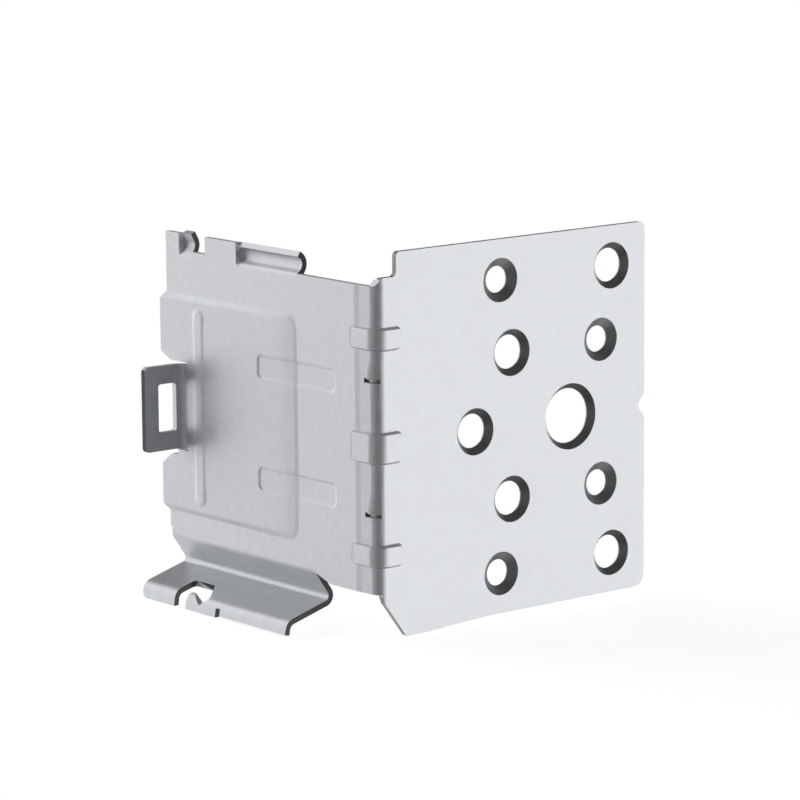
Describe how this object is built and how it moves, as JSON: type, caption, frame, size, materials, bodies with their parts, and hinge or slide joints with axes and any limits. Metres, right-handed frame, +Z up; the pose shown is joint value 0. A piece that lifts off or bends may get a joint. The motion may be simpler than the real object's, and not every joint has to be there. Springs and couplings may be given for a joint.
{
  "type": "stud bracket",
  "caption": "Folded galvanised sheet bracket: a perforated screw plate square to a pressed wing with a hooked top, a grooved ledge and a loop tab, for fixing a box or bar to a stud.",
  "frame": {"origin": "under the middle of the bounding box, at the level of the lowest edge", "axes": "+X along the screw plate away from the fold, +Y along the wing away from the fold and out of the plate's stud face, +Z up"},
  "size_m": [0.0692, 0.0596, 0.0667],
  "materials": {
    "galvanised_steel": "hot-dip galvanised sheet, dull silver with a faint spangle"
  },
  "bodies": {
    "root": {"stud_bracket": "galvanised_steel"}
  },
  "joints": []
}
